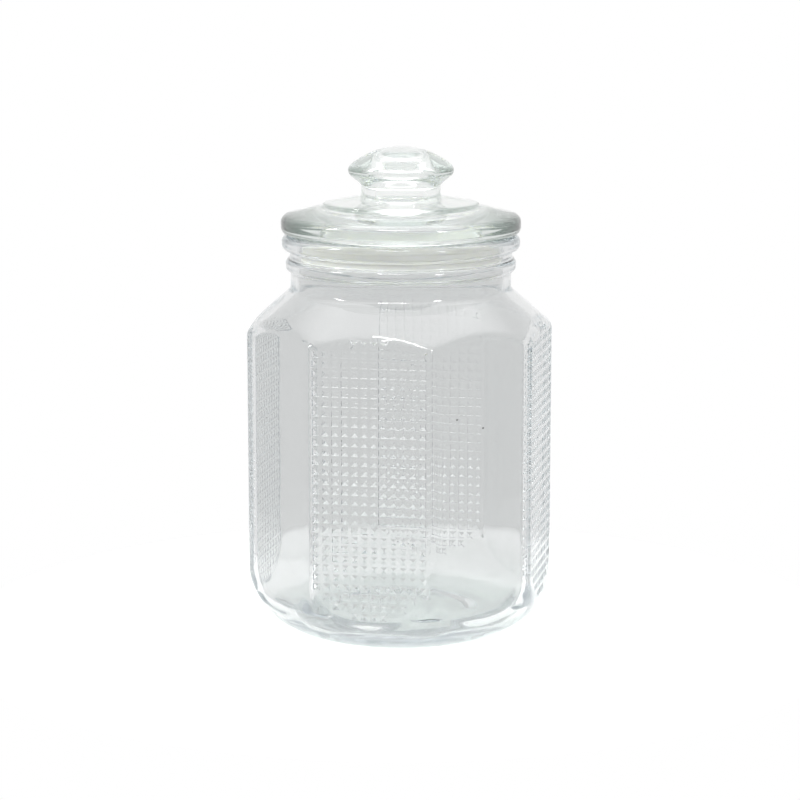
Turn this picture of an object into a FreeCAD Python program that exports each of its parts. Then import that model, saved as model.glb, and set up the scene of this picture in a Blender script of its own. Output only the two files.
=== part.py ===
import FreeCAD, Part
import math
import os

# Clear glass storage jar: an eight-sided jar whose every second side carries a
# waffle of small pits, a pressed glass lid with a hollow knob, and a soft seal
# ring that grips the lid's plug.
#
# Millimetres, +Z up. The origin is the centre of the foot, on the surface that
# the jar stands on. The waffled sides face +X, -X, +Y and -Y.

V = FreeCAD.Vector
AXIS = V(0, 0, 1)
CENTRE = V(0, 0, 0)

# --- Jar: body -----------------------------------------------------------------
SIDES = 8
ACROSS_FLATS = 133.0          # outside, between two opposite sides
CORNER_REACH = 1.08           # round body that the sides are cut from, to half of ACROSS_FLATS
BODY_HEIGHT = 141.7           # foot to the sharp corner of wall and shoulder
SHOULDER_ANGLE = 48.5         # degrees, shoulder's slope from the vertical
SHOULDER_ROUND = 6.0
HEEL_RADIUS = 32.0            # broad round from wall to foot
WALL = 4.0                    # glass of the sides, heel and shoulder
FLOOR = 10.0                  # glass of the base, over the foot
INNER_CORNER_ROUND = 16.0     # upright corners of the inside
INNER_HEEL_RADIUS = 10.0
INNER_SHOULDER_ROUND = 9.0
PUSH_UP = 2.2                 # hollow under the base
FOOT_RING_WIDTH = 5.0
FOOT_RING_SLOPE = 6.0         # width of the slope from foot ring to push-up

# --- Jar: waffle on every second side -------------------------------------------
PIT_PITCH = 4.4
PIT_DEPTH = 0.9
PIT_RIB = 0.35                # flat rib left between two pits
PIT_BORDER = 0.5              # plain glass beside the outermost pits
FIELD_FOOT = 17.5             # lower edge of the lowest pits
PIT_FOOT_MARGIN = 1.5         # plain glass between pits and the side's arched foot
PIT_TOP_MARGIN = 0.5          # plain glass between pits and the side's arched top

# --- Jar: neck and mouth ---------------------------------------------------------
MOUTH_RADIUS = 47.2
MOUTH_ROUND = 0.8             # inner edge of the mouth
NECK_WALL = 3.7
NECK_HEIGHT = 24.4            # top of the shoulder to the top of the mouth
NECK_ROUND = 3.0              # hollow round between shoulder and neck
INNER_NECK_ROUND = 7.0
TOP_BEAD_REACH = 4.0          # beads and groove stand out from the neck
TOP_BEAD_HEIGHT = 6.8
TOP_BEAD_ROUND = 2.6
LOW_BEAD_REACH = 2.2
LOW_BEAD_HEIGHT = 5.6
LOW_BEAD_ROUND = 1.9
GROOVE_REACH = 0.4            # between the two beads
GROOVE_HEIGHT = 4.0
GROOVE_ROUND = 0.9

# --- Lid -------------------------------------------------------------------------
RIM_OVERHANG = 0.4            # rim beyond the top bead
RIM_HEIGHT = 8.6              # seat to the sharp upper corner of the rim
RIM_ROUND = 3.6
LID_SLOPE = 13.5              # degrees, top of the lid outside the step
STEP_INSET = 19.4             # rim to the raised middle of the lid
STEP_HEIGHT = 1.2
STEP_ROUND = 0.5
CROWN_SLOPE = 10.0            # degrees, top of the lid inside the step
STEM_RADIUS = 18.2
STEM_HEIGHT = 5.2             # crown to the underside of the knob
STEM_ROUND = 1.6
KNOB_OVERHANG = 6.1           # knob beyond the stem
KNOB_EDGE_ROUND = 3.4
KNOB_UNDERCUT = 40.0          # degrees, slope of the knob's underside
KNOB_DOME_RADIUS = 36.5
LID_GLASS = 6.0               # glass between the top of the lid and its hollow
PLUG_WALL = 5.4
PLUG_DEPTH = 13.4             # plug below the lid's seat
PLUG_ROUND = 1.8
HOLLOW_ROUND = 3.0
STEM_WALL = 5.2               # glass round the pressed hollow in the stem, at its mouth
HOLLOW_TAPER = 3.4            # the hollow narrows by this much to its top
HOLLOW_TOP_GLASS = 9.0        # glass between the hollow and the top of the knob

# --- Seal ------------------------------------------------------------------------
SEAL_THICKNESS = 2.2
SEAL_SHORT = 0.6              # plug that shows below the seal
SEAL_LIPS = 3
SEAL_LIP_DEPTH = 1.5
SEAL_LIP_HEIGHT = 1.4

# --- Clearances --------------------------------------------------------------------
SEAT_GAP = 0.2                # lid over the jar's mouth
SEAL_GAP = 0.2                # seal on the plug, and under the lid's seat
LIP_GAP = 0.3                 # seal's lips in the mouth

# --- Places that follow --------------------------------------------------------------
FLAT = ACROSS_FLATS / 2
CORNER_RADIUS = FLAT * CORNER_REACH
NECK_RADIUS = MOUTH_RADIUS + NECK_WALL
TOP_BEAD_RADIUS = NECK_RADIUS + TOP_BEAD_REACH
LOW_BEAD_RADIUS = NECK_RADIUS + LOW_BEAD_REACH
GROOVE_RADIUS = NECK_RADIUS + GROOVE_REACH
SHOULDER_RISE = 1.0 / math.tan(math.radians(SHOULDER_ANGLE))
SHOULDER_TOP = BODY_HEIGHT + (CORNER_RADIUS - NECK_RADIUS) * SHOULDER_RISE
MOUTH_TOP = SHOULDER_TOP + NECK_HEIGHT
LID_SEAT = MOUTH_TOP + SEAT_GAP
SEAL_TOP = LID_SEAT - SEAL_GAP
SEAL_HEIGHT = PLUG_DEPTH - SEAL_GAP - SEAL_SHORT
SEAL_RADIUS = MOUTH_RADIUS - LIP_GAP - SEAL_LIP_DEPTH
PLUG_RADIUS = SEAL_RADIUS - SEAL_THICKNESS - SEAL_GAP
RIM_RADIUS = TOP_BEAD_RADIUS + RIM_OVERHANG
STEP_RADIUS = RIM_RADIUS - STEP_INSET
STEP_FOOT = LID_SEAT + RIM_HEIGHT + (RIM_RADIUS - STEP_RADIUS) * math.tan(math.radians(LID_SLOPE))
CROWN_TOP = STEP_FOOT + STEP_HEIGHT + (STEP_RADIUS - STEM_RADIUS) * math.tan(math.radians(CROWN_SLOPE))
KNOB_RADIUS = STEM_RADIUS + KNOB_OVERHANG
HOLLOW_FOOT_RADIUS = STEM_RADIUS - STEM_WALL
HOLLOW_TOP_RADIUS = HOLLOW_FOOT_RADIUS - HOLLOW_TAPER


def rounded_path(corners):
    """Edges through (radius, height, round) corners, each corner rounded by a tangent arc."""
    points = [V(r, 0, z) for r, z, _ in corners]
    edges = []
    start = points[0]
    for before, corner, after, (_, _, radius) in zip(points, points[1:], points[2:], corners[1:]):
        back = (before - corner).normalize()
        on = (after - corner).normalize()
        half = back.getAngle(on) / 2
        if not radius:
            edges.append(Part.makeLine(start, corner))
            start = corner
            continue
        first = corner + back * (radius / math.tan(half))
        last = corner + on * (radius / math.tan(half))
        inward = (back + on).normalize()
        middle = corner + inward * (radius / math.sin(half) - radius)
        edges.append(Part.makeLine(start, first))
        edges.append(Part.Arc(first, middle, last).toShape())
        start = last
    edges.append(Part.makeLine(start, points[-1]))
    return edges


def revolve(edges):
    """A solid turned about the jar's axis from a closed run of edges."""
    wire = Part.Wire(Part.__sortEdges__(edges))
    return Part.Face(wire).revolve(CENTRE, AXIS, 360)


def turned(corners):
    """A solid of revolution from rounded corners; the profile closes by itself."""
    first, last = corners[0], corners[-1]
    closing = Part.makeLine(V(last[0], 0, last[1]), V(first[0], 0, first[1]))
    return revolve(rounded_path(corners) + [closing])


def eight_sided(across_flats, low, high):
    """An upright prism with one side facing each of +X, +Y, -X and -Y."""
    corner_radius = across_flats / 2 / math.cos(math.pi / SIDES)
    turns = [math.pi / SIDES * (2 * i + 1) for i in range(SIDES)]
    points = [V(corner_radius * math.cos(t), corner_radius * math.sin(t), low) for t in turns]
    base = Part.Face(Part.makePolygon(points + points[:1]))
    return base.extrude(V(0, 0, high - low))


def neck_profile():
    """Outside of the neck, from the shoulder up: a low bead, a groove and the top bead."""
    top_bead_foot = MOUTH_TOP - TOP_BEAD_HEIGHT
    low_bead_top = top_bead_foot - GROOVE_HEIGHT
    low_bead_foot = low_bead_top - LOW_BEAD_HEIGHT
    return [
        (NECK_RADIUS, low_bead_foot, GROOVE_ROUND),
        (LOW_BEAD_RADIUS, low_bead_foot, LOW_BEAD_ROUND),
        (LOW_BEAD_RADIUS, low_bead_top, LOW_BEAD_ROUND),
        (GROOVE_RADIUS, low_bead_top, GROOVE_ROUND),
        (GROOVE_RADIUS, top_bead_foot, GROOVE_ROUND),
        (TOP_BEAD_RADIUS, top_bead_foot, TOP_BEAD_ROUND),
        (TOP_BEAD_RADIUS, MOUTH_TOP, TOP_BEAD_ROUND),
    ]


def jar_outside():
    """Round body with shoulder and beaded neck, with the eight sides cut flat."""
    foot_inner = CORNER_RADIUS - HEEL_RADIUS - FOOT_RING_WIDTH
    profile = [
        (0, PUSH_UP, 0),
        (foot_inner - FOOT_RING_SLOPE, PUSH_UP, FOOT_RING_SLOPE),
        (foot_inner, 0, FOOT_RING_SLOPE / 2),
        (CORNER_RADIUS, 0, HEEL_RADIUS),
        (CORNER_RADIUS, BODY_HEIGHT, SHOULDER_ROUND),
        (NECK_RADIUS, SHOULDER_TOP, NECK_ROUND),
        *neck_profile(),
        (0, MOUTH_TOP, 0),
    ]
    return turned(profile).common(eight_sided(ACROSS_FLATS, -1, MOUTH_TOP + 1))


def jar_inside():
    """The hollow: eight sides with soft corners, drawn in to a round mouth and a round heel."""
    inner_radius = CORNER_RADIUS - WALL
    wall_rise = WALL / math.sin(math.radians(SHOULDER_ANGLE))
    inner_body = BODY_HEIGHT + (CORNER_RADIUS - inner_radius) * SHOULDER_RISE - wall_rise
    inner_shoulder = SHOULDER_TOP - (MOUTH_RADIUS - NECK_RADIUS) * SHOULDER_RISE - wall_rise
    top = MOUTH_TOP + WALL
    drawn_in = turned([
        (0, WALL, 0),
        (inner_radius, WALL, HEEL_RADIUS - WALL),
        (inner_radius, inner_body, INNER_SHOULDER_ROUND),
        (MOUTH_RADIUS, inner_shoulder, INNER_NECK_ROUND),
        (MOUTH_RADIUS, top, 0),
        (0, top, 0),
    ])
    sides = eight_sided(ACROSS_FLATS - 2 * WALL, FLOOR, top)
    upright = [e for e in sides.Edges if abs(e.tangentAt(e.FirstParameter).z) > 0.5]
    sides = sides.makeFillet(INNER_CORNER_ROUND, upright)
    floor_edges = [e for e in sides.Edges if e.BoundBox.ZMax < FLOOR + 0.1]
    sides = sides.makeFillet(INNER_HEEL_RADIUS, floor_edges)
    return drawn_in.common(sides)


def mouth_edge():
    """A small ring that rounds the mouth's inner edge when it is cut away."""
    corner = V(MOUTH_RADIUS, 0, MOUTH_TOP)
    side = V(MOUTH_RADIUS, 0, MOUTH_TOP - MOUTH_ROUND)
    top = V(MOUTH_RADIUS + MOUTH_ROUND, 0, MOUTH_TOP)
    bulge = MOUTH_ROUND * (1 - math.sqrt(0.5))
    middle = corner + V(bulge, 0, -bulge)
    edges = [Part.makeLine(side, corner), Part.makeLine(corner, top), Part.Arc(top, middle, side).toShape()]
    return revolve(edges)


def pit(across, height):
    """One four-sided pit, as the small pyramid that is cut from the side facing +X."""
    proud = 0.05
    half = (PIT_PITCH - PIT_RIB) / 2 * (1 + proud)
    corners = [V(FLAT + PIT_DEPTH * proud, across + y * half, height + z * half)
               for y, z in ((-1, -1), (1, -1), (1, 1), (-1, 1))]
    tip = V(FLAT - PIT_DEPTH, across, height)
    faces = [Part.Face(Part.makePolygon(corners + corners[:1]))]
    for i in range(4):
        faces.append(Part.Face(Part.makePolygon([corners[i], corners[i - 3], tip, corners[i]])))
    return Part.Solid(Part.Shell(faces))


def side_foot(across):
    """Height of a flat side's arched foot, this far from the side's middle."""
    inset = math.hypot(FLAT, across) - (CORNER_RADIUS - HEEL_RADIUS)
    return HEEL_RADIUS - math.sqrt(HEEL_RADIUS ** 2 - inset ** 2)


def side_top(across):
    """Height of a flat side's arched top, this far from the side's middle."""
    return BODY_HEIGHT + (CORNER_RADIUS - math.hypot(FLAT, across)) * SHOULDER_RISE


def waffle_side():
    """Pits of the side facing +X: a square grid, as far as the side's outline lets it go."""
    half_side = min(math.sqrt(CORNER_RADIUS ** 2 - FLAT ** 2), FLAT * math.tan(math.pi / SIDES))
    columns = math.floor(2 * (half_side - PIT_BORDER) / PIT_PITCH)
    rows = math.floor((SHOULDER_TOP - FIELD_FOOT) / PIT_PITCH)
    pits = []
    for column in range(columns):
        across = (column - (columns - 1) / 2) * PIT_PITCH
        reach = abs(across) + PIT_PITCH / 2
        for row in range(rows):
            low = FIELD_FOOT + row * PIT_PITCH
            if side_foot(reach) + PIT_FOOT_MARGIN < low < side_top(reach) - PIT_TOP_MARGIN - PIT_PITCH:
                pits.append(pit(across, low + PIT_PITCH / 2))
    return pits


def build_jar():
    """The glass jar, with the waffle pressed into every second side."""
    side = waffle_side()
    pits = []
    for quarter in range(4):
        pits += [p.rotated(CENTRE, AXIS, 90 * quarter) for p in side]
    return jar_outside().cut(jar_inside()).cut(mouth_edge()).cut(pits)


def knob_profile(underside):
    """Knob from its underside at the stem, round the edge and over the dome to the axis."""
    undercut = math.radians(KNOB_UNDERCUT)
    edge_r = KNOB_RADIUS - KNOB_EDGE_ROUND
    low_r = edge_r + KNOB_EDGE_ROUND * math.sin(undercut)
    low_z = underside + (low_r - STEM_RADIUS) * math.tan(undercut)
    edge_z = low_z + KNOB_EDGE_ROUND * math.cos(undercut)
    reach = KNOB_DOME_RADIUS - KNOB_EDGE_ROUND
    dome_z = edge_z - math.sqrt(reach ** 2 - edge_r ** 2)
    lean = math.asin(edge_r / reach)
    shoulder = V(KNOB_DOME_RADIUS * math.sin(lean), 0, dome_z + KNOB_DOME_RADIUS * math.cos(lean))
    half = V(KNOB_DOME_RADIUS * math.sin(lean / 2), 0, dome_z + KNOB_DOME_RADIUS * math.cos(lean / 2))
    top = V(0, 0, dome_z + KNOB_DOME_RADIUS)
    low = V(low_r, 0, low_z)
    widest = V(KNOB_RADIUS, 0, edge_z)
    edge = Part.Arc(low, widest, shoulder).toShape()
    dome = Part.Arc(shoulder, half, top).toShape()
    return low, [edge, dome], top


def build_lid():
    """Lid of one profile: hollow, plug, seat, rim, sloping top, step, stem and knob."""
    underside = CROWN_TOP + STEM_HEIGHT
    low, knob_edges, top = knob_profile(underside)
    plug_foot = LID_SEAT - PLUG_DEPTH
    plug_inner = PLUG_RADIUS - PLUG_WALL
    hollow_top = top.z - HOLLOW_TOP_GLASS
    path = rounded_path([
        (0, hollow_top, 0),
        (HOLLOW_TOP_RADIUS, hollow_top, HOLLOW_ROUND),
        (HOLLOW_FOOT_RADIUS, CROWN_TOP - LID_GLASS, HOLLOW_ROUND),
        (plug_inner, STEP_FOOT - LID_GLASS, HOLLOW_ROUND),
        (plug_inner, plug_foot, PLUG_ROUND),
        (PLUG_RADIUS, plug_foot, PLUG_ROUND),
        (PLUG_RADIUS, LID_SEAT, 0),
        (RIM_RADIUS, LID_SEAT, RIM_ROUND),
        (RIM_RADIUS, LID_SEAT + RIM_HEIGHT, RIM_ROUND),
        (STEP_RADIUS, STEP_FOOT, STEP_ROUND),
        (STEP_RADIUS, STEP_FOOT + STEP_HEIGHT, STEP_ROUND),
        (STEM_RADIUS, CROWN_TOP, STEM_ROUND),
        (STEM_RADIUS, underside, STEM_ROUND),
        (low.x, low.z, 0),
    ])
    closing = Part.makeLine(top, V(0, 0, hollow_top))
    return revolve(path + knob_edges + [closing])


def build_seal():
    """Band that grips the plug, with lips that wipe the jar's mouth."""
    foot = SEAL_TOP - SEAL_HEIGHT
    inner = SEAL_RADIUS - SEAL_THICKNESS
    lip_radius = SEAL_RADIUS + SEAL_LIP_DEPTH
    pitch = SEAL_HEIGHT / SEAL_LIPS
    profile = [(inner, foot, 0)]
    for i in range(SEAL_LIPS):
        low = foot + pitch * i
        profile += [
            (SEAL_RADIUS, low, 0),
            (lip_radius, low + SEAL_LIP_HEIGHT / 2, 0),
            (lip_radius, low + SEAL_LIP_HEIGHT, 0),
            (SEAL_RADIUS, low + SEAL_LIP_HEIGHT, 0),
        ]
    profile += [(SEAL_RADIUS, SEAL_TOP, 0), (inner, SEAL_TOP, 0)]
    return turned(profile)


def write(name, shape):
    solids = shape.Solids
    if len(solids) != 1 or not solids[0].isValid():
        raise RuntimeError(f"{name}: expected one valid solid, got {len(solids)}")
    solids[0].exportStep(f"parts/{name}.step")
    box = solids[0].optimalBoundingBox()
    print(f"{name}: {solids[0].Volume / 1000:.1f} cm3, {box.XLength:.1f} x {box.YLength:.1f} x "
          f"{box.ZLength:.1f} mm from z {box.ZMin:.1f} to {box.ZMax:.1f}")


os.makedirs("parts", exist_ok=True)
write("jar", build_jar())
write("lid", build_lid())
write("seal", build_seal())
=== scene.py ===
import math

import bmesh
import bpy
from bpy.props import FloatProperty, FloatVectorProperty, IntProperty, PointerProperty
from mathutils import Matrix, Vector


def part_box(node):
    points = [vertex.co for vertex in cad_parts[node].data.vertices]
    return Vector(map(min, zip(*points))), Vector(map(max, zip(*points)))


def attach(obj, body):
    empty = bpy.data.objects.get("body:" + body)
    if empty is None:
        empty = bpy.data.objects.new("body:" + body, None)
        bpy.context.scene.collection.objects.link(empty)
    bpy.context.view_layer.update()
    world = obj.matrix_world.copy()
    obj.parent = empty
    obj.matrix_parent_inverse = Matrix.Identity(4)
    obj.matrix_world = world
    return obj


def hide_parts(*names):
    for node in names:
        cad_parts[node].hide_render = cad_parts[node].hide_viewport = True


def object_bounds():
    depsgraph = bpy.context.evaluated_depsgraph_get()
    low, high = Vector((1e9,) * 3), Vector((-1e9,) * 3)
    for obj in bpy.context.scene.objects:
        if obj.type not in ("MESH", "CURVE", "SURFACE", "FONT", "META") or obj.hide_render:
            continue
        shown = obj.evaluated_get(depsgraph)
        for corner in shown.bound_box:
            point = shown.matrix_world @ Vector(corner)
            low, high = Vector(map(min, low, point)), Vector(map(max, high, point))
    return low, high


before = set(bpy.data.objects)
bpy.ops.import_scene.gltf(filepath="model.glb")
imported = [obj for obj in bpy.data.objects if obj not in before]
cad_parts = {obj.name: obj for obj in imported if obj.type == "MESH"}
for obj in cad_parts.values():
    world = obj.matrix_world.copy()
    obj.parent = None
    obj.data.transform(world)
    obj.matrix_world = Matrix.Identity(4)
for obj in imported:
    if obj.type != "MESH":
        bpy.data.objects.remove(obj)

bl_info = {
    "name": "Glass Storage Jar",
    "version": (1, 0, 0),
    "blender": (4, 5, 0),
    "location": "View3D > Sidebar > Jar",
    "description": "Builds an eight-sided waffled glass jar, its knobbed lid and its seal",
    "category": "Object",
}

CAD_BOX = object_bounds()
JAR_LOW, JAR_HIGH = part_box("jar")
LID_LOW, LID_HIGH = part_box("lid")
SEAL_LOW, SEAL_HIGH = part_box("seal")
MM = 0.001
SIDES = 8
WAFFLED_SIDES = SIDES // 2
QUARTER = math.pi / 2
SIDE_TURN = 2 * math.pi / SIDES
MOUTH_EDGE = 1.2 * MM  # flat edge of the mouth, where outside and inside meet

# How fine the turned pieces and the jar's rows and columns are cut.
HEEL_CUTS = 30
COLUMN_CUTS = 3
CORNER_CUTS = 4
INNER_WALL_CUTS = 12
INNER_HEEL_CUTS = 16
INNER_FLOOR_CUTS = 6
KNOB_EDGE_CUTS = 14
KNOB_DOME_CUTS = 26
LID_COLUMNS = 192
SEAL_COLUMNS = 160

# Two tiny dark flaws in the glass of the side right of the front, as (x, y, z).
SPECKS = ((37.66 * MM, -56.39 * MM, 109.49 * MM), (47.53 * MM, -46.51 * MM, 104.43 * MM))
SPECK_RADIUS = 0.42 * MM
SPECK_COLOUR = (0.02, 0.02, 0.02)

# Light that glass lets through to what lies in its shadow.
SHADOW_CLEAR = (0.86, 0.88, 0.87)

# The ceiling starts and is full where a direction points this far upwards, of 1.
CEILING_START, CEILING_FULL = 0.60, 0.85
AMBIENT_STRENGTH = 0.55
LIGHT_BOUNCES = 128
FLOOR_RADIUS = 6.0

# Name, place, size, watts, and whether the lamp glints on the glass.
LAMPS = (
    ("overhead", (0.1, 0.3, 1.5), (0.9, 0.6), 10, False),
    ("front_strip", (0.0, -0.9, 1.65), (0.7, 0.35), 11, True),
    ("left_window", (-1.3, -0.7, 1.1), (0.25, 0.6), 10, True),
    ("right_window", (1.2, -0.9, 1.0), (0.2, 0.5), 6, True),
)

# Sockets of a Mix node that mixes two colours.
MIX_A, MIX_B, MIX_RESULT = 6, 7, 2


# --- Sizes and looks a user may change ----------------------------------------------


def length(name, description, default):
    """A length in metres, shown in the scene's units."""
    return FloatProperty(name=name, description=description, default=default, min=0.0,
                         precision=5, unit="LENGTH", subtype="DISTANCE")


def angle(name, description, degrees):
    """An angle given in degrees, kept in radians."""
    return FloatProperty(name=name, description=description, default=math.radians(degrees),
                         unit="ROTATION", subtype="ANGLE")


def colour(name, description, default):
    return FloatVectorProperty(name=name, description=description, default=default, size=3,
                               min=0.0, max=1.0, subtype="COLOR")


def plain(name, description, default):
    return FloatProperty(name=name, description=description, default=default, precision=4)


class JarSizes(bpy.types.PropertyGroup):
    """Sizes of the jar's glass."""

    across_flats: length("Across flats", "Outside, between two opposite sides",
                         JAR_HIGH.x - JAR_LOW.x)
    corner_reach: plain("Corner reach", "Round body before its sides are cut, to half across flats",
                        1.08)
    body_height: length("Body height", "Foot to the sharp corner of wall and shoulder", 141.7 * MM)
    shoulder_angle: angle("Shoulder angle", "Slope of the shoulder, from the vertical", 48.5)
    shoulder_round: length("Shoulder round", "Round between wall and shoulder", 6.0 * MM)
    heel_radius: length("Heel radius", "Broad round from wall to foot", 32.0 * MM)
    wall: length("Wall", "Glass of the sides", 4.0 * MM)
    floor: length("Floor", "Glass of the base", 10.0 * MM)
    inner_corner: length("Inner corner", "Round of the upright inside corners", 9.0 * MM)
    inner_heel: length("Inner heel", "Round between inside wall and floor", 10.0 * MM)
    push_up: length("Push-up", "Hollow under the base", 2.2 * MM)
    foot_ring: length("Foot ring", "Width of the ring that the jar stands on", 5.0 * MM)
    edge_soft: length("Edge softness", "Softness of the sides' arches at the shoulder", 2.5 * MM)
    heel_soft: length("Heel softness", "Softness of the sides' arches at the heel", 0.9 * MM)
    corner_soft: length("Corner softness", "Softness of the upright corners", 0.5 * MM)
    neck_radius: length("Neck radius", "Outside of the neck", 50.9 * MM)
    mouth_radius: length("Mouth radius", "Inside of the neck", 47.2 * MM)
    top_bead: length("Top bead", "Radius of the bead round the mouth", 54.9 * MM)
    low_bead: length("Low bead", "Radius of the bead below it", 53.1 * MM)
    groove: length("Groove", "Radius between the two beads", 51.3 * MM)
    pit_pitch: length("Pit pitch", "Distance from one pit of the waffle to the next", 4.40 * MM)
    pit_depth: length("Pit depth", "Depth of one pit", 0.725 * MM)
    pit_lip: length("Pit lip", "Width of the steeper edge of a pit", 0.40 * MM)
    pit_lip_depth: length("Pit lip depth", "Depth of the steeper edge of a pit", 0.235 * MM)
    pit_rib: length("Pit rib", "Width of the rib between two pits", 1.1 * MM)
    pit_columns: IntProperty(name="Pit columns", description="Pits across one side", default=12,
                             min=1)
    field_foot: length("Field foot", "Height of the lowest pits' lower edge", 17.5 * MM)
    pit_foot_margin: length("Foot margin", "Plain glass from the side's arched foot to the pits",
                            1.5 * MM)
    pit_top_margin: length("Top margin", "Plain glass from the pits to the side's arched top",
                           0.5 * MM)


class LidSizes(bpy.types.PropertyGroup):
    """Sizes of the lid's glass."""

    rim_radius: length("Rim radius", "Outside of the rim", (LID_HIGH.x - LID_LOW.x) / 2)
    rim_height: length("Rim height", "Seat to the sharp upper corner of the rim", 8.6 * MM)
    rim_round: length("Rim round", "Round of the rim's edges", 3.6 * MM)
    slope: angle("Slope", "Top of the lid outside the step", 13.5)
    step_radius: length("Step radius", "Raised middle of the lid", 35.9 * MM)
    step_height: length("Step height", "Height of the step", 1.2 * MM)
    crown_slope: angle("Crown slope", "Top of the lid inside the step", 10.0)
    stem_radius: length("Stem radius", "Stem below the knob", 18.2 * MM)
    stem_height: length("Stem height", "Crown to the underside of the knob", 5.2 * MM)
    knob_radius: length("Knob radius", "Widest part of the knob", 24.3 * MM)
    knob_edge: length("Knob edge", "Round of the knob's edge", 3.4 * MM)
    knob_undercut: angle("Knob undercut", "Slope of the knob's underside", 40.0)
    knob_dome: length("Knob dome", "Radius of the dome on top", 36.5 * MM)
    glass: length("Glass", "Glass between the top of the lid and its hollow", 6.0 * MM)
    plug_radius: length("Plug radius", "Outside of the plug in the mouth", 43.0 * MM)
    plug_wall: length("Plug wall", "Glass of the plug", 5.4 * MM)
    hollow_foot: length("Hollow foot", "Pressed hollow in the stem, at its mouth", 13.0 * MM)
    hollow_top: length("Hollow top", "Pressed hollow in the stem, at its top", 9.6 * MM)
    hollow_glass: length("Hollow glass", "Glass from the hollow to the top of the knob", 9.0 * MM)


class SealSizes(bpy.types.PropertyGroup):
    """Sizes of the seal ring."""

    radius: length("Radius", "Band of the seal, between its lips", 45.4 * MM)
    thickness: length("Thickness", "Band of the seal", 2.2 * MM)
    lip_depth: length("Lip depth", "How far a lip stands out", 1.5 * MM)
    lip_height: length("Lip height", "Height of a lip", 1.4 * MM)
    lips: IntProperty(name="Lips", description="Lips that wipe the jar's mouth", default=3, min=1)


class Looks(bpy.types.PropertyGroup):
    """Finishes, light and view."""

    # The jar's skin grey is painted shade: it stands in for a darker room seen through the glass,
    # while the room round the jar is white.
    jar_clear_and_painted_shade: colour("Jar clearness", "Light that the skin of the jar's glass lets through",
                      (0.770, 0.778, 0.778))
    lid_clear: colour("Lid clearness", "Light that the skin of the lid's glass lets through",
                      (0.985, 0.985, 0.985))
    jar_tint: colour("Jar tint", "Colour that deep glass of the jar takes on",
                     (0.855, 0.875, 0.885))
    lid_tint: colour("Lid tint", "Colour that deep glass of the lid takes on",
                     (0.67, 0.72, 0.695))
    glass_depth: plain("Glass depth", "How fast the tints grow with depth, for each metre", 20.0)
    glass_ior: plain("Glass IOR", "Refractive index of the glass", 1.52)
    wave: length("Waviness", "Depth of the slow waves in the pressed glass", 0.12 * MM)
    seal_colour: colour("Seal colour", "Milky plastic", (0.97, 0.95, 0.90))
    backdrop: colour("Backdrop", "Floor and room round the table", (1.0, 1.0, 1.0))
    table_colour: colour("Table colour", "Lit table close to the jar", (0.98, 0.98, 0.98))
    ceiling_glow: plain("Ceiling glow", "Strength of the ceiling over the jar, as seen", 2.6)
    table_radius: length("Table radius", "Where the lit table ends, from the jar's axis", 0.20)
    view_turn: angle("View turn", "Camera's turn round the jar, from the front", 12.3)
    view_rise: angle("View rise", "Camera's height above the level", 10.3)
    view_distance: length("View distance", "Camera to the middle of the view", 1.2)
    view_height: length("View height", "Height that the camera looks at", 0.107)
    view_lens: plain("Lens", "Focal length in millimetres", 115.9)
    view_shift: plain("View shift", "Sideways shift of the picture, in picture widths", -0.0012)


# --- Profiles: rounded outlines of turned pieces ------------------------------------


def arc_points(centre, radius, start, end, pieces):
    """Points on an arc, both ends included; angles run from the level, outwards."""
    turns = [start + (end - start) * i / pieces for i in range(pieces + 1)]
    return [(centre[0] + radius * math.cos(t), centre[1] + radius * math.sin(t)) for t in turns]


def rounded(corners, arc_step=0.9 * MM, run_step=6.0 * MM):
    """Points along (radius, height, round) corners, with each corner rounded by a tangent arc."""
    points = [Vector(corners[0][:2])]
    for before, corner, after in zip(corners, corners[1:], corners[2:]):
        here = Vector(corner[:2])
        back = (Vector(before[:2]) - here).normalized()
        on = (Vector(after[:2]) - here).normalized()
        half = back.angle(on) / 2
        if corner[2] <= 0:
            points += stepped(points[-1], here, run_step)
            continue
        reach = corner[2] / math.tan(half)
        centre = here + (back + on).normalized() * (corner[2] / math.sin(half))
        first, last = here + back * reach, here + on * reach
        points += stepped(points[-1], first, run_step)
        sweep = math.pi - 2 * half
        pieces = max(3, round(corner[2] * sweep / arc_step))
        spoke = first - centre
        turn = -sweep if spoke.cross(last - centre) < 0 else sweep
        for i in range(1, pieces + 1):
            points.append(centre + Matrix.Rotation(turn * i / pieces, 2) @ spoke)
    points += stepped(points[-1], Vector(corners[-1][:2]), run_step)
    return [(p.x, p.y) for p in points]


def stepped(start, end, run_step):
    """Points from start, left out, to end, about run_step apart."""
    run = (end - start).length
    nothing = 1e-7
    if run < nothing:
        return []
    pieces = max(1, round(run / run_step))
    return [start.lerp(end, i / pieces) for i in range(1, pieces + 1)]


def spin_rows(profile, columns):
    """A bmesh with the profile spun full circle; each vertex knows its row on the profile."""
    bm = bmesh.new()
    row = bm.verts.layers.int.new("row")
    verts = []
    for i, (r, z) in enumerate(profile):
        vert = bm.verts.new((r, 0, z))
        vert[row] = i
        verts.append(vert)
    edges = [bm.edges.new(pair) for pair in zip(verts, verts[1:])]
    bmesh.ops.spin(bm, geom=verts + edges, cent=(0, 0, 0), axis=(0, 0, 1), angle=2 * math.pi,
                   steps=columns, use_merge=True)
    return bm, row


def close_up(bm):
    """Joins the poles and the seam, and turns every face outwards."""
    weld = 0.002 * MM
    bmesh.ops.remove_doubles(bm, verts=bm.verts, dist=weld)
    bmesh.ops.recalc_face_normals(bm, faces=bm.faces)


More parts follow.
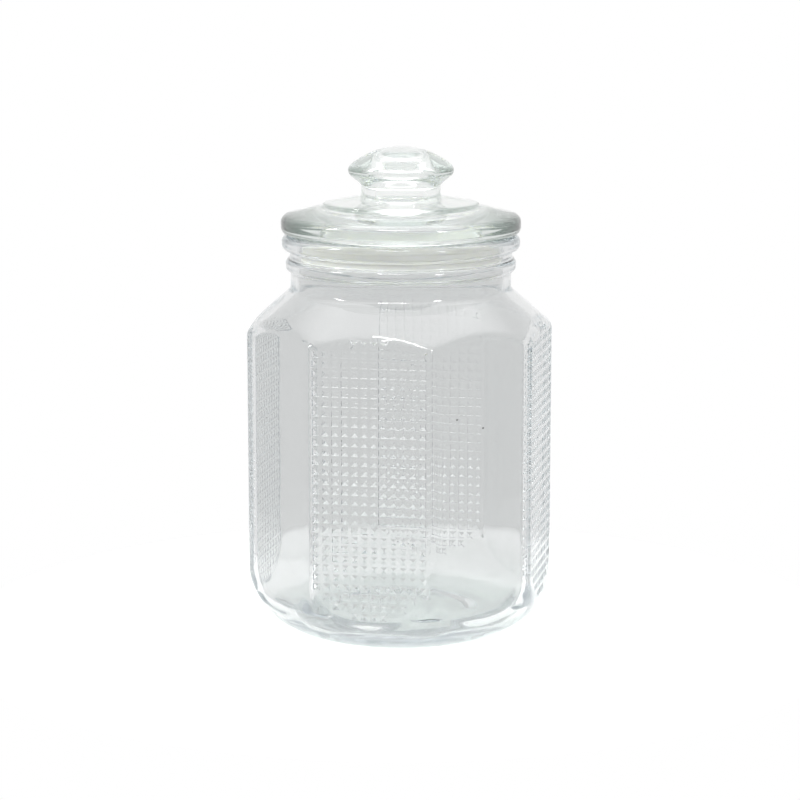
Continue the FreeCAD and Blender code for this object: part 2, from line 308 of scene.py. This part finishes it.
def finish_piece(bm, name, material, node, flat_faces=()):
    """Makes the mesh an object in place of its CAD node, smooth but for the flat faces' edges."""
    for face in bm.faces:
        face.smooth = True
    for face in flat_faces:
        for edge in face.edges:
            edge.smooth = False
    mesh = bpy.data.meshes.new(name)
    bm.to_mesh(mesh)
    bm.free()
    piece = bpy.data.objects.new(name, mesh)
    bpy.context.scene.collection.objects.link(piece)
    mesh.materials.append(material)
    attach(piece, "root")
    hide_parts(node)


# --- Jar ----------------------------------------------------------------------------


def soft_min(a, b, soft):
    """The smaller of two, with the crossing rounded over a width of soft."""
    near = max(soft - abs(a - b), 0.0) / soft if soft > 0 else 0.0
    return min(a, b) - near * near * soft / 4


def off_side(turn):
    """Angle from the middle of the nearest flat side."""
    return (turn + SIDE_TURN / 2) % SIDE_TURN - SIDE_TURN / 2


def eight_sided(turn, apothem, corner_round):
    """Distance from the axis to an eight-sided outline with rounded corners."""
    off = abs(off_side(turn))
    beyond = SIDE_TURN / 2 - off
    centre = (apothem - corner_round) / math.cos(SIDE_TURN / 2)
    aside = centre * math.sin(beyond)
    flat_half = centre * math.cos(SIDE_TURN / 2) * math.tan(SIDE_TURN / 2)
    hair = 1e-12
    before_corner = aside > corner_round * math.sin(SIDE_TURN / 2) - hair
    if before_corner and apothem * math.tan(off) <= flat_half:
        return apothem / math.cos(off)
    return centre * math.cos(beyond) + math.sqrt(max(corner_round ** 2 - aside ** 2, 0.0))


class JarShape:
    """The jar's outline, worked out from its sizes."""

    def __init__(self, sizes):
        self.s = sizes
        self.flat = sizes.across_flats / 2
        self.round = self.flat * sizes.corner_reach
        self.rise = 1 / math.tan(sizes.shoulder_angle)
        self.shoulder_top = sizes.body_height + (self.round - sizes.neck_radius) * self.rise
        bend = sizes.shoulder_round * math.tan(sizes.shoulder_angle / 2)
        self.bend_foot = sizes.body_height - bend
        self.bend_top = self.bend_foot + sizes.shoulder_round * math.sin(sizes.shoulder_angle)
        self.top = JAR_HIGH.z
        self.outer = self.base_profile() + self.body_profile() + self.neck_profile()

    def body_radius(self, z):
        """Outside of the round body, before its sides are cut flat."""
        s = self.s
        if z < s.heel_radius:
            return self.round - s.heel_radius + math.sqrt(
                s.heel_radius ** 2 - (s.heel_radius - z) ** 2)
        if z < self.bend_foot:
            return self.round
        if z < self.bend_top:
            return self.round - s.shoulder_round + math.sqrt(
                s.shoulder_round ** 2 - (z - self.bend_foot) ** 2)
        return self.round - (z - s.body_height) / self.rise

    def pit_rows(self):
        """Rows of pits that would fit between the field's foot and the neck."""
        return math.floor((self.shoulder_top - self.s.field_foot) / self.s.pit_pitch)

    def base_profile(self):
        """Push-up, foot ring and the low part of the heel, below the waffle."""
        s = self.s
        ring = self.round - s.heel_radius
        slope = 6.0 * MM
        base = rounded([(0, s.push_up, 0), (ring - s.foot_ring - slope, s.push_up, slope),
                        (ring - s.foot_ring, 0, slope / 2), (ring, 0, 0)], run_step=8.0 * MM)
        sweep = math.acos(1 - s.field_foot / s.heel_radius)
        heel = arc_points((ring, s.heel_radius), s.heel_radius, -QUARTER, sweep - QUARTER,
                          HEEL_CUTS)
        return base + heel[1:]

    def body_profile(self):
        """Rows of the wall: one to a row of pits, and more where the sides' arched edges run."""
        s = self.s
        heel_cuts, wall_cuts, shoulder_cuts = 6, 1, 8
        past_arch = 1.0 * MM
        heights = []
        for row in range(self.pit_rows()):
            low = s.field_foot + row * s.pit_pitch
            high = low + s.pit_pitch
            cuts = wall_cuts
            if low < s.heel_radius - s.pit_pitch / 2:
                cuts = heel_cuts
            elif high > self.bend_foot:
                cuts = shoulder_cuts
            if low < self.side_top(0) + past_arch:
                heights += [low + s.pit_pitch * i / cuts for i in range(1, cuts + 1)]
        return [(self.body_radius(z), z) for z in heights]

    def neck_profile(self):
        """Shoulder above the arches, and the beaded neck."""
        s = self.s
        top_height, groove_height, low_height = 6.8 * MM, 4.0 * MM, 5.6 * MM
        waist, nook, low_round, top_round = 3.0 * MM, 0.9 * MM, 1.9 * MM, 2.6 * MM
        top_foot = self.top - top_height
        low_top = top_foot - groove_height
        low_foot = low_top - low_height
        start = self.body_profile()[-1]
        neck = rounded([start + (0,),
                        (s.neck_radius, self.shoulder_top, waist),
                        (s.neck_radius, low_foot, nook),
                        (s.low_bead, low_foot, low_round),
                        (s.low_bead, low_top, low_round),
                        (s.groove, low_top, nook),
                        (s.groove, top_foot, nook),
                        (s.top_bead, top_foot, top_round),
                        (s.top_bead, self.top, top_round),
                        (s.mouth_radius + MOUTH_EDGE, self.top, 0)],
                       arc_step=0.5 * MM, run_step=3 * MM)
        return neck[1:]

    def inner_upper(self):
        """Inside from the mouth down to the wall, as a round profile."""
        s = self.s
        inner_radius = self.round - s.wall
        drop = s.wall / math.sin(s.shoulder_angle)
        corner = s.body_height + (self.round - inner_radius) * self.rise - drop
        throat = self.shoulder_top - (s.mouth_radius - s.neck_radius) * self.rise - drop
        mouth_round, throat_round, corner_round = 0.8 * MM, 7.0 * MM, 9.0 * MM
        return rounded([(s.mouth_radius + MOUTH_EDGE, self.top, 0),
                        (s.mouth_radius, self.top, mouth_round),
                        (s.mouth_radius, throat, throat_round),
                        (inner_radius, corner, corner_round),
                        (inner_radius, corner - corner_round, 0)],
                       arc_step=0.8 * MM, run_step=1.6 * MM)[1:]

    def side_foot(self, across):
        """Height of a flat side's arched foot, this far from the side's middle."""
        inset = math.hypot(self.flat, across) - (self.round - self.s.heel_radius)
        return self.s.heel_radius - math.sqrt(self.s.heel_radius ** 2 - inset ** 2)

    def side_top(self, across):
        """Height of a flat side's arched top, this far from the side's middle."""
        return self.s.body_height + (self.round - math.hypot(self.flat, across)) * self.rise

    def softness(self, radius, z):
        """Crisp at the upright corners, softer along the arches, most of all at the shoulder."""
        s = self.s
        arch = s.heel_soft if z < s.heel_radius else s.edge_soft
        change = 2.0 * MM
        share = min(1.0, max(0.0, (self.round - radius) / change))
        return s.corner_soft + (arch - s.corner_soft) * share

    def outer_radius(self, radius, turn, z):
        """Outside, where a round body of this radius has its sides cut flat."""
        return soft_min(radius, self.flat / math.cos(off_side(turn)), self.softness(radius, z))

    def inner_radius(self, radius, turn):
        """Inside, between the round shoulder and the flat sides."""
        side = eight_sided(turn, self.flat - self.s.wall, self.s.inner_corner)
        arch_soft = 2.5 * MM
        return soft_min(radius, side, arch_soft)

    def rows(self):
        """(height, function from turn to radius) of each row, from the foot to the inside floor."""
        s = self.s
        rows = [(z, lambda turn, r=r, z=z: self.outer_radius(r, turn, z)) for r, z in self.outer]
        upper = self.inner_upper()
        rows += [(z, lambda turn, r=r: self.inner_radius(r, turn)) for r, z in upper]
        wall_top, wall_foot = upper[-1][1], s.floor + s.inner_heel
        for i in range(1, INNER_WALL_CUTS + 1):
            z = wall_top + (wall_foot - wall_top) * i / INNER_WALL_CUTS
            rows.append((z, lambda turn: self.inner_radius(self.round - s.wall, turn)))
        for i in range(1, INNER_HEEL_CUTS + 1):
            t = QUARTER * i / INNER_HEEL_CUTS
            inset = s.inner_heel * (1 - math.cos(t))
            z = s.floor + s.inner_heel * (1 - math.sin(t))
            rows.append((z, lambda turn, inset=inset, z=z: self.inner_heel_radius(inset, turn, z)))
        rim = rows[-1][1]
        for i in range(1, INNER_FLOOR_CUTS + 1):
            rows.append((s.floor, lambda turn, share=1 - i / INNER_FLOOR_CUTS: share * rim(turn)))
        return rows

    def inner_heel_radius(self, inset, turn, z):
        """Inside of the heel, where the flat sides have drawn in by inset."""
        side = eight_sided(turn, self.flat - self.s.wall - inset, self.s.inner_corner - inset)
        heel_soft = 1.5 * MM
        return soft_min(side, self.inner_round(z), heel_soft)

    def inner_round(self, z):
        """Radius of the round heel inside, a wall's width within the outer one."""
        reach = self.s.heel_radius - self.s.wall
        rise = max(self.s.heel_radius - z, 0)
        return self.round - self.s.heel_radius + math.sqrt(reach ** 2 - rise ** 2)


def column_turns(shape):
    """Angles of the mesh's columns: even steps over each flat side and a few round its corners."""
    s = shape.s
    steps = s.pit_columns * COLUMN_CUTS
    across = s.pit_columns * s.pit_pitch / 2
    turns = [math.atan(across * (2 * i / steps - 1) / shape.flat) for i in range(steps + 1)]
    corner = SIDE_TURN / 2 - turns[-1]
    turns += [turns[-1] + corner * 2 * i / CORNER_CUTS for i in range(1, CORNER_CUTS)]
    return [side * SIDE_TURN + t for side in range(SIDES) for t in turns]


def add_waffle(bm, shape, quarter):
    """Replaces the faces of one waffled side with a grid of cells, one to a pit."""
    s = shape.s
    turn = Matrix.Rotation(quarter * QUARTER, 4, "Z")
    back = turn.inverted()
    half = s.pit_columns * s.pit_pitch / 2

    def cell_at(point):
        return (math.floor((point.y + half) / s.pit_pitch),
                math.floor((point.z - s.field_foot) / s.pit_pitch))

    def has_pit(cell):
        column, row = cell
        reach = max(abs(column * s.pit_pitch - half), abs((column + 1) * s.pit_pitch - half))
        low = s.field_foot + row * s.pit_pitch
        return (0 <= column < s.pit_columns and row >= 0
                and low > shape.side_foot(reach) + s.pit_foot_margin
                and low + s.pit_pitch < shape.side_top(reach) - s.pit_top_margin)

    old = []
    for face in bm.faces:
        spot = back @ face.calc_center_median()
        if spot.x > shape.flat - s.wall / 2 and abs(spot.y) < half and has_pit(cell_at(spot)):
            old.append(face)
    bmesh.ops.delete(bm, geom=old, context="FACES")
    edge_spots = [back @ v.co for v in bm.verts if v.is_boundary]
    edge_spots = [p for p in edge_spots if p.x > shape.flat - s.wall / 2]

    rows = shape.pit_rows()
    middle = s.field_foot + rows * s.pit_pitch / 2
    place = turn @ Matrix.Translation((shape.flat, 0, middle)) @ Matrix.Rotation(QUARTER, 4, "Y")
    place = place @ Matrix.Diagonal((rows * s.pit_pitch / 2, half, 1, 1))
    grid = bmesh.ops.create_grid(bm, x_segments=rows, y_segments=s.pit_columns, size=1.0,
                                 matrix=place)
    cells = in_order(bm.faces, {f for v in grid["verts"] for f in v.link_faces})
    spare = [c for c in cells if not has_pit(cell_at(back @ c.calc_center_median()))]
    bmesh.ops.delete(bm, geom=spare, context="FACES")
    cells = [c for c in cells if c.is_valid]
    rim = in_order(bm.edges, {e for c in cells for e in c.edges if e.is_boundary})
    match_edges(bm, rim, back, edge_spots)
    return cells


def in_order(whole, chosen):
    """The chosen parts as a list, in the mesh's own order, so that each run cuts alike."""
    return [part for part in whole if part in chosen]


def match_edges(bm, edges, back, spots):
    """Cuts the grid's outer edges as often as the mesh round it has points there."""
    reach = 0.1 * MM
    by_cuts = {}
    for edge in edges:
        a, b = (back @ v.co for v in edge.verts)
        along, across = (1, 2) if abs(a.z - b.z) < reach else (2, 1)
        low, high = sorted((a[along], b[along]))
        on = [p for p in spots if abs(p[across] - a[across]) < reach
              and low + reach < p[along] < high - reach]
        by_cuts.setdefault(len(on), []).append(edge)
    for cuts, group in by_cuts.items():
        if cuts:
            bmesh.ops.subdivide_edges(bm, edges=group, cuts=cuts)


def press_pits(bm, sizes, cells_by_side):
    """Sinks a two-step pyramid into every cell; gives back the faces with sharp edges."""
    flat_faces = []
    to_corner = math.sqrt(2)

    def inset(faces, width):
        return bmesh.ops.inset_individual(bm, faces=faces, thickness=width * to_corner,
                                          use_even_offset=False)["faces"]

    for quarter, cells in enumerate(cells_by_side):
        rims = inset(cells, sizes.pit_rib / 2)
        lips = inset(cells, sizes.pit_lip)
        inward = Matrix.Rotation(quarter * QUARTER, 4, "Z") @ Vector((-1, 0, 0))
        floors = in_order(bm.verts, {v for cell in cells for v in cell.verts})
        bmesh.ops.translate(bm, verts=floors, vec=inward * sizes.pit_lip_depth)
        poked = bmesh.ops.poke(bm, faces=cells, offset=0.0, center_mode="BOUNDS")
        tip_depth = sizes.pit_depth - sizes.pit_lip_depth
        bmesh.ops.translate(bm, verts=poked["verts"], vec=inward * tip_depth)
        flat_faces += rims + lips + poked["faces"]
    return flat_faces


def build_jar():
    sizes = bpy.context.scene.jar_sizes
    shape = JarShape(sizes)
    rows = shape.rows()
    turns = column_turns(shape)
    any_radius, join = 50 * MM, 0.3 * MM
    bm, row = spin_rows([(any_radius, z) for z, _ in rows], len(turns))
    step = 2 * math.pi / len(turns)
    for vert in bm.verts:
        column = round(math.atan2(vert.co.y, vert.co.x) / step) % len(turns)
        z, radius = rows[vert[row]]
        turn = turns[column]
        vert.co = Vector((radius(turn) * math.cos(turn), radius(turn) * math.sin(turn), z))
    close_up(bm)
    cells_by_side = [add_waffle(bm, shape, quarter) for quarter in range(WAFFLED_SIDES)]
    bmesh.ops.remove_doubles(bm, verts=[v for v in bm.verts if v.is_boundary], dist=join)
    cells_by_side = [[c for c in cells if c.is_valid] for cells in cells_by_side]
    flat_faces = press_pits(bm, sizes, cells_by_side)
    bmesh.ops.recalc_face_normals(bm, faces=bm.faces)
    looks = bpy.context.scene.jar_looks
    # The jar's glass takes its skin grey, painted shade for a darker room seen through it.
    material = glass("jar_glass", looks.jar_clear_and_painted_shade, looks.jar_tint, SPECKS)
    finish_piece(bm, "jar_glass", material, "jar", flat_faces)


# --- Lid and seal -------------------------------------------------------------------


def knob_outline(s, underside):
    """Knob from its underside, round its edge and over its dome, and the height of its top."""
    edge_r = s.knob_radius - s.knob_edge
    low_r = edge_r + s.knob_edge * math.sin(s.knob_undercut)
    low_z = underside + (low_r - s.stem_radius) * math.tan(s.knob_undercut)
    edge_z = low_z + s.knob_edge * math.cos(s.knob_undercut)
    reach = s.knob_dome - s.knob_edge
    dome_z = edge_z - math.sqrt(reach ** 2 - edge_r ** 2)
    lean = math.atan2(edge_z - dome_z, edge_r)
    edge = arc_points((edge_r, edge_z), s.knob_edge, s.knob_undercut - QUARTER, lean,
                      KNOB_EDGE_CUTS)
    dome = arc_points((0, dome_z), s.knob_dome, lean, QUARTER, KNOB_DOME_CUTS)
    return edge + dome[1:], dome_z + s.knob_dome


def lid_profile(s):
    """Outline of the lid, from the roof of its hollow round to the top of the knob."""
    seat_drop = 40.3 * MM
    hollow_round, plug_round, seat_round = 3.0 * MM, 1.8 * MM, 0.4 * MM
    step_round, stem_round = 0.5 * MM, 1.6 * MM
    seat = LID_HIGH.z - seat_drop
    rim_top = seat + s.rim_height
    step_foot = rim_top + (s.rim_radius - s.step_radius) * math.tan(s.slope)
    crown = step_foot + s.step_height + (s.step_radius - s.stem_radius) * math.tan(s.crown_slope)
    underside = crown + s.stem_height
    knob, top = knob_outline(s, underside)
    plug_foot = LID_LOW.z
    plug_inner = s.plug_radius - s.plug_wall
    hollow_top = top - s.hollow_glass
    below_knob = rounded([(0, hollow_top, 0),
                          (s.hollow_top, hollow_top, hollow_round),
                          (s.hollow_foot, crown - s.glass, hollow_round),
                          (plug_inner, step_foot - s.glass, hollow_round),
                          (plug_inner, plug_foot, plug_round),
                          (s.plug_radius, plug_foot, plug_round),
                          (s.plug_radius, seat, seat_round),
                          (s.rim_radius, seat, s.rim_round),
                          (s.rim_radius, rim_top, s.rim_round),
                          (s.step_radius, step_foot, step_round),
                          (s.step_radius, step_foot + s.step_height, step_round),
                          (s.stem_radius, crown, stem_round),
                          (s.stem_radius, underside, stem_round),
                          knob[0] + (0,)], arc_step=0.5 * MM, run_step=2.0 * MM)
    return below_knob + knob[1:]


def build_lid():
    sizes = bpy.context.scene.lid_sizes
    bm, _ = spin_rows(lid_profile(sizes), LID_COLUMNS)
    close_up(bm)
    looks = bpy.context.scene.jar_looks
    material = glass("lid_glass", looks.lid_clear, looks.lid_tint)
    finish_piece(bm, "lid_glass", material, "lid")


def seal_profile(s):
    """Outline of the band with its rounded lips, closed on itself."""
    inner = s.radius - s.thickness
    low, high = SEAL_LOW.z, SEAL_HIGH.z
    pitch = (high - low) / s.lips
    soft = 0.3 * MM
    corners = [(inner, (low + high) / 2, 0), (inner, low, soft)]
    for i in range(s.lips):
        foot = low + pitch * i
        corners += [(s.radius, foot, soft),
                    (s.radius + s.lip_depth, foot + s.lip_height / 2, soft),
                    (s.radius + s.lip_depth, foot + s.lip_height, soft),
                    (s.radius, foot + s.lip_height, soft)]
    corners += [(s.radius, high, soft), (inner, high, soft), (inner, (low + high) / 2, 0)]
    return rounded(corners, arc_step=0.25 * MM, run_step=1.5 * MM)


def build_seal():
    bm, _ = spin_rows(seal_profile(bpy.context.scene.seal_sizes), SEAL_COLUMNS)
    close_up(bm)
    finish_piece(bm, "seal_ring", milky_plastic(), "seal")


# --- Materials ----------------------------------------------------------------------


def node_tools(owner):
    """Clears a material's or world's nodes; gives helpers that link two sockets and add a node."""
    owner.use_nodes = True
    tree = owner.node_tree
    tree.nodes.clear()

    def add(kind, **settings):
        node = tree.nodes.new(kind)
        for key, value in settings.items():
            if key in node.inputs:
                node.inputs[key].default_value = value
            else:
                setattr(node, key, value)
        return node

    return tree.links.new, add


def rgba(values):
    """A colour with full alpha."""
    return (*values, 1.0)


def glass(name, clearness_and_painted_shade, tint, specks=()):
    """Clear pressed glass: grey at its skin, tinted with depth, with slow waves and fine smudges.
    The grey at the skin is painted shade, standing in for a darker room seen through the glass.

    Light on its way to a surface in its shadow passes straight through it."""
    looks = bpy.context.scene.jar_looks
    material = bpy.data.materials.new(name)
    link, add = node_tools(material)
    out = add("ShaderNodeOutputMaterial")
    # The base colour is the skin's grey, painted shade for a darker room seen through the glass.
    body = add("ShaderNodeBsdfPrincipled", **{
        "Base Color": rgba(clearness_and_painted_shade), "IOR": looks.glass_ior,
        "Transmission Weight": 1.0, "Roughness": 0.0})
    where = add("ShaderNodeTexCoord")
    waves = add("ShaderNodeTexNoise", Scale=38.0, Detail=1.0, Roughness=0.4)
    bump = add("ShaderNodeBump", Strength=1.0, Distance=looks.wave)
    smudge = add("ShaderNodeTexNoise", Scale=60.0, Detail=4.0, Roughness=0.6)
    haze = add("ShaderNodeMapRange", **{
        "From Min": 0.45, "From Max": 0.8, "To Min": 0.0, "To Max": 0.05})
    link(where.outputs["Object"], waves.inputs["Vector"])
    link(waves.outputs["Fac"], bump.inputs["Height"])
    link(bump.outputs["Normal"], body.inputs["Normal"])
    link(where.outputs["Object"], smudge.inputs["Vector"])
    link(smudge.outputs["Fac"], haze.inputs["Value"])
    link(haze.outputs["Result"], body.inputs["Roughness"])
    colour_so_far = None
    for speck in specks:
        away = add("ShaderNodeVectorMath", operation="DISTANCE")
        away.inputs[1].default_value = speck
        inside = add("ShaderNodeMath", operation="LESS_THAN")
        inside.inputs[1].default_value = SPECK_RADIUS
        dark = add("ShaderNodeMix", data_type="RGBA")
        dark.inputs[MIX_A].default_value = rgba(clearness_and_painted_shade)
        dark.inputs[MIX_B].default_value = rgba(SPECK_COLOUR)
        link(where.outputs["Object"], away.inputs[0])
        link(away.outputs["Value"], inside.inputs[0])
        link(inside.outputs["Value"], dark.inputs["Factor"])
        if colour_so_far:
            link(colour_so_far, dark.inputs[MIX_A])
        colour_so_far = dark.outputs[MIX_RESULT]
    if colour_so_far:
        link(colour_so_far, body.inputs["Base Color"])
    through = add("ShaderNodeBsdfTransparent", Color=rgba(SHADOW_CLEAR))
    rays = add("ShaderNodeLightPath")
    mix = add("ShaderNodeMixShader")
    link(rays.outputs["Is Shadow Ray"], mix.inputs["Fac"])
    link(body.outputs["BSDF"], mix.inputs[1])
    link(through.outputs["BSDF"], mix.inputs[2])
    link(mix.outputs["Shader"], out.inputs["Surface"])
    depth = add("ShaderNodeVolumeAbsorption", Color=rgba(tint), Density=looks.glass_depth)
    link(depth.outputs["Volume"], out.inputs["Volume"])
    return material


def milky_plastic():
    """Soft translucent plastic with a satin skin, slightly mottled."""
    looks = bpy.context.scene.jar_looks
    paler = 1.06
    material = bpy.data.materials.new("seal_plastic")
    link, add = node_tools(material)
    out = add("ShaderNodeOutputMaterial")
    body = add("ShaderNodeBsdfPrincipled", **{
        "Roughness": 0.35, "IOR": 1.5, "Subsurface Weight": 0.4,
        "Subsurface Scale": 4 * MM, "Subsurface Radius": (1.0, 1.0, 0.8)})
    where = add("ShaderNodeTexCoord")
    mottle = add("ShaderNodeTexNoise", Scale=90.0, Detail=3.0)
    shade = add("ShaderNodeMix", data_type="RGBA")
    shade.inputs[MIX_A].default_value = rgba(looks.seal_colour)
    shade.inputs[MIX_B].default_value = rgba([min(1.0, c * paler) for c in looks.seal_colour])
    grain = add("ShaderNodeTexNoise", Scale=900.0, Detail=2.0)
    bump = add("ShaderNodeBump", Strength=0.4, Distance=0.05 * MM)
    link(where.outputs["Object"], mottle.inputs["Vector"])
    link(mottle.outputs["Fac"], shade.inputs["Factor"])
    link(shade.outputs[MIX_RESULT], body.inputs["Base Color"])
    link(where.outputs["Object"], grain.inputs["Vector"])
    link(grain.outputs["Fac"], bump.inputs["Height"])
    link(bump.outputs["Normal"], body.inputs["Normal"])
    link(body.outputs["BSDF"], out.inputs["Surface"])
    return material


def floor_paint():
    """A lit table that takes the jar's shadow, and beyond it a floor seen as plain white."""
    looks = bpy.context.scene.jar_looks
    fade_start, fade_end = 0.97, 1.05
    material = bpy.data.materials.new("floor_paint")
    link, add = node_tools(material)
    out = add("ShaderNodeOutputMaterial")
    where = add("ShaderNodeTexCoord")
    away = add("ShaderNodeVectorMath", operation="LENGTH")
    link(where.outputs["Object"], away.inputs[0])
    edge = add("ShaderNodeMapRange", interpolation_type="SMOOTHSTEP", **{
        "From Min": looks.table_radius * fade_start, "From Max": looks.table_radius * fade_end})
    link(away.outputs["Value"], edge.inputs["Value"])
    table = add("ShaderNodeBsdfDiffuse", Color=rgba(looks.table_colour))
    beyond = add("ShaderNodeEmission", Color=rgba(looks.backdrop), Strength=1.0)
    shown = add("ShaderNodeMixShader")
    link(edge.outputs["Result"], shown.inputs["Fac"])
    link(table.outputs["BSDF"], shown.inputs[1])
    link(beyond.outputs["Emission"], shown.inputs[2])
    mix = add("ShaderNodeMixShader")
    link(seen_rays(link, add), mix.inputs["Fac"])
    link(table.outputs["BSDF"], mix.inputs[1])
    link(shown.outputs["Shader"], mix.inputs[2])
    link(mix.outputs["Shader"], out.inputs["Surface"])
    return material


def seen_rays(link, add):
    """1 for what is seen straight, in reflections and through glass; 0 for light on surfaces."""
    rays = add("ShaderNodeLightPath")
    total = rays.outputs["Is Camera Ray"]
    for kind in ("Is Glossy Ray", "Is Transmission Ray"):
        both = add("ShaderNodeMath", operation="ADD", use_clamp=True)
        link(total, both.inputs[0])
        link(rays.outputs[kind], both.inputs[1])
        total = both.outputs["Value"]
    return total


# --- Stage --------------------------------------------------------------------------


def make_floor():
    """A wide round floor just under the foot."""
    drop = 0.05 * MM
    bm = bmesh.new()
    bmesh.ops.create_circle(bm, cap_ends=True, segments=128, radius=FLOOR_RADIUS)
    mesh = bpy.data.meshes.new("floor")
    bm.to_mesh(mesh)
    bm.free()
    mesh.materials.append(floor_paint())
    floor = bpy.data.objects.new("floor", mesh)
    floor.location.z = CAD_BOX[0].z - drop
    bpy.context.scene.collection.objects.link(floor)


def make_world():
    """White round the jar and brighter overhead, as seen; an even ambient light for the rest."""
    looks = bpy.context.scene.jar_looks
    world = bpy.data.worlds.new("studio")
    bpy.context.scene.world = world
    link, add = node_tools(world)
    out = add("ShaderNodeOutputWorld")
    where = add("ShaderNodeTexCoord")
    split = add("ShaderNodeSeparateXYZ")
    ceiling = add("ShaderNodeMapRange", **{
        "From Min": CEILING_START, "From Max": CEILING_FULL,
        "To Min": 1.0, "To Max": looks.ceiling_glow})
    room = add("ShaderNodeBackground", Color=rgba(looks.backdrop))
    ambient = add("ShaderNodeBackground", Color=(1, 1, 1, 1), Strength=AMBIENT_STRENGTH)
    mix = add("ShaderNodeMixShader")
    link(where.outputs["Generated"], split.inputs["Vector"])
    link(split.outputs["Z"], ceiling.inputs["Value"])
    link(ceiling.outputs["Result"], room.inputs["Strength"])
    link(seen_rays(link, add), mix.inputs["Fac"])
    link(ambient.outputs["Background"], mix.inputs[1])
    link(room.outputs["Background"], mix.inputs[2])
    link(mix.outputs["Shader"], out.inputs["Surface"])


def make_lamps():
    """Soft rectangular lamps; none shows through the glass, and only some of them glint on it."""
    middle = Vector((0, 0, (CAD_BOX[0].z + CAD_BOX[1].z) / 2))
    for name, spot, size, watts, glints in LAMPS:
        data = bpy.data.lights.new(name, "AREA")
        data.shape = "RECTANGLE"
        data.size, data.size_y = size
        data.energy = watts
        lamp = bpy.data.objects.new(name, data)
        lamp.location = spot
        lamp.rotation_euler = (middle - Vector(spot)).to_track_quat("-Z", "Y").to_euler()
        lamp.visible_camera = False
        lamp.visible_transmission = False
        lamp.visible_glossy = glints
        bpy.context.scene.collection.objects.link(lamp)


def make_camera():
    """The front view, turned and raised as the looks say."""
    looks = bpy.context.scene.jar_looks
    data = bpy.data.cameras.new("camera")
    data.lens = looks.view_lens
    data.sensor_width = 36.0
    data.shift_x = looks.view_shift
    camera = bpy.data.objects.new("camera", data)
    rise, turn = looks.view_rise, looks.view_turn
    level = math.cos(rise)
    away = Vector((math.sin(turn) * level, -math.cos(turn) * level, math.sin(rise)))
    camera.location = Vector((0, 0, looks.view_height)) + away * looks.view_distance
    camera.rotation_euler = (-away).to_track_quat("-Z", "Y").to_euler()
    bpy.context.scene.collection.objects.link(camera)
    bpy.context.scene.camera = camera


# --- Operators, panel, registration -------------------------------------------------


class JAR_OT_body(bpy.types.Operator):
    """Build the eight-sided jar with its waffled sides"""

    bl_idname = "jar.body"
    bl_label = "Jar"

    def execute(self, context):
        build_jar()
        return {"FINISHED"}


class JAR_OT_lid(bpy.types.Operator):
    """Build the lid with its hollow knob"""

    bl_idname = "jar.lid"
    bl_label = "Lid"

    def execute(self, context):
        build_lid()
        return {"FINISHED"}


class JAR_OT_seal(bpy.types.Operator):
    """Build the seal ring with its lips"""

    bl_idname = "jar.seal"
    bl_label = "Seal"

    def execute(self, context):
        build_seal()
        return {"FINISHED"}


class JAR_OT_stage(bpy.types.Operator):
    """Set up the floor, the room, the lamps and the camera"""

    bl_idname = "jar.stage"
    bl_label = "Stage"

    def execute(self, context):
        context.scene.view_settings.view_transform = "Standard"
        paths = context.scene.cycles
        paths.max_bounces = paths.transmission_bounces = paths.glossy_bounces = LIGHT_BOUNCES
        make_floor()
        make_world()
        make_lamps()
        make_camera()
        return {"FINISHED"}


class JAR_PT_panel(bpy.types.Panel):
    """Sizes and buttons for the jar"""

    bl_label = "Glass Storage Jar"
    bl_idname = "JAR_PT_panel"
    bl_space_type = "VIEW_3D"
    bl_region_type = "UI"
    bl_category = "Jar"

    def draw(self, context):
        for operator in OPERATORS:
            self.layout.operator(operator.bl_idname)
        for group in (context.scene.jar_sizes, context.scene.lid_sizes, context.scene.seal_sizes,
                      context.scene.jar_looks):
            box = self.layout.box()
            for name in group.bl_rna.properties.keys():
                if name not in ("rna_type", "name"):
                    box.prop(group, name)


GROUPS = (JarSizes, LidSizes, SealSizes, Looks)
OPERATORS = (JAR_OT_body, JAR_OT_lid, JAR_OT_seal, JAR_OT_stage)


def register():
    for cls in (*GROUPS, *OPERATORS, JAR_PT_panel):
        bpy.utils.register_class(cls)
    bpy.types.Scene.jar_sizes = PointerProperty(type=JarSizes)
    bpy.types.Scene.lid_sizes = PointerProperty(type=LidSizes)
    bpy.types.Scene.seal_sizes = PointerProperty(type=SealSizes)
    bpy.types.Scene.jar_looks = PointerProperty(type=Looks)


def unregister():
    for name in ("jar_sizes", "lid_sizes", "seal_sizes", "jar_looks"):
        delattr(bpy.types.Scene, name)
    for cls in (JAR_PT_panel, *reversed(OPERATORS), *reversed(GROUPS)):
        bpy.utils.unregister_class(cls)


def main():
    register()
    bpy.ops.jar.stage()
    bpy.ops.jar.body()
    bpy.ops.jar.lid()
    bpy.ops.jar.seal()


if __name__ == "__main__":
    main()
